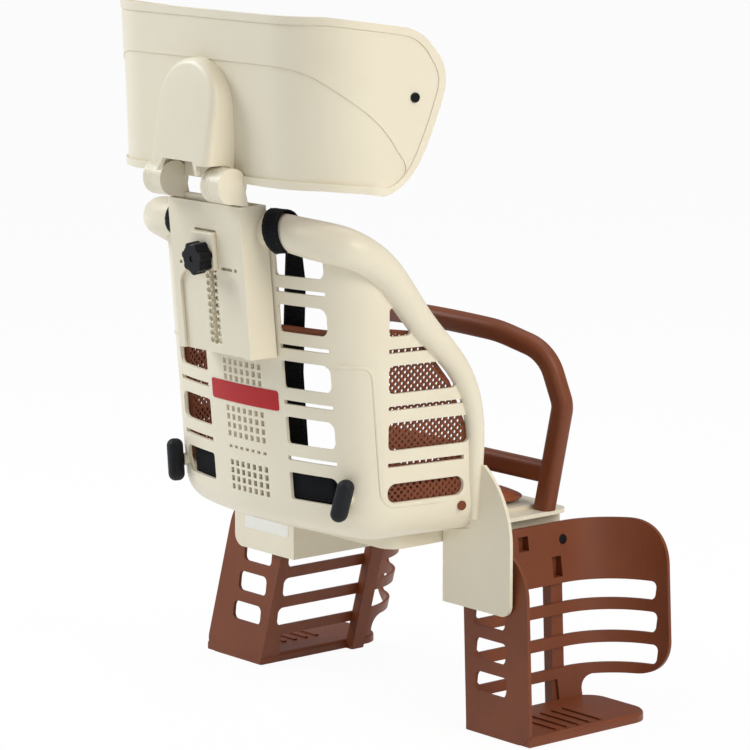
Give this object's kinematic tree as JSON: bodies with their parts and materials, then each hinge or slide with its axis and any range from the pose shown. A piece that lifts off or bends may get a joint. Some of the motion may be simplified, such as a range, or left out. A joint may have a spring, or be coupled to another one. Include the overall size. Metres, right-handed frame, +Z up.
{
  "type": "child bike seat",
  "caption": "Bucket child seat bolted on a bicycle's rear carrier, with a slotted back, a sliding, folding headrest, a hand grip hoop, leg guards and a harness.",
  "frame": {"origin": "centre of the four carrier bolt holes, on the carrier's top face", "axes": "+X the rider's right, +Y forward, +Z up"},
  "size_m": [0.488, 0.4359, 0.6765],
  "materials": {
    "cream_plastic": "fine satin moulded grain",
    "brown_plastic": "fine moulded grain",
    "brown_cushion": "soft padded cover",
    "black_rubber": "matt moulded",
    "black_webbing": "woven",
    "black_plastic": "satin",
    "red_plastic": "satin",
    "plated_steel": "zinc plated"
  },
  "bodies": {
    "seat": {"buckle_body": "black_plastic", "clamp_block": "cream_plastic", "crotch_strap": "black_webbing", "floor_screws": "plated_steel", "guard_screws": "plated_steel", "hand_grip": "brown_plastic", "knob_nut": "plated_steel", "lap_strap_left": "black_webbing", "lap_strap_right": "black_webbing", "leg_guard_left": "brown_plastic", "leg_guard_right": "brown_plastic", "rear_bumper_left": "black_rubber", "rear_bumper_right": "black_rubber", "seat_base": "cream_plastic", "seat_cushion": "brown_cushion", "seat_liner": "brown_plastic", "seat_shell": "cream_plastic", "shoulder_strap_left": "black_webbing", "shoulder_strap_right": "black_webbing", "side_screws": "plated_steel", "waist_belt": "black_webbing"},
    "stay": {"headrest_stay": "cream_plastic"},
    "headrest": {"headrest_shell": "cream_plastic", "headrest_pad": "brown_cushion", "headrest_screws": "black_plastic", "hinge_pin_left": "plated_steel", "hinge_pin_right": "plated_steel"},
    "knob": {"clamp_knob": "black_plastic", "knob_bolt": "plated_steel"},
    "button": {"buckle_button": "red_plastic"}
  },
  "joints": [
    {"name": "headrest_slide", "type": "slide", "parent": "seat", "child": "stay", "axis": [0, -0.0872, 0.9962], "range_m": [0, 0.078]},
    {"name": "headrest_fold", "type": "hinge", "parent": "stay", "child": "headrest", "pos_m": [0, -0.192, 0.348], "axis": [-1, 0, 0], "range_deg": [0, 32]},
    {"name": "knob_turn", "type": "hinge", "parent": "seat", "child": "knob", "pos_m": [0, -0.17782, 0.278], "axis": [0, -0.9962, -0.0872], "continuous": true},
    {"name": "buckle_press", "type": "slide", "parent": "seat", "child": "button", "axis": [0, 0, -1], "range_m": [0, 0.003], "stiffness_N_per_m": 400}
  ]
}
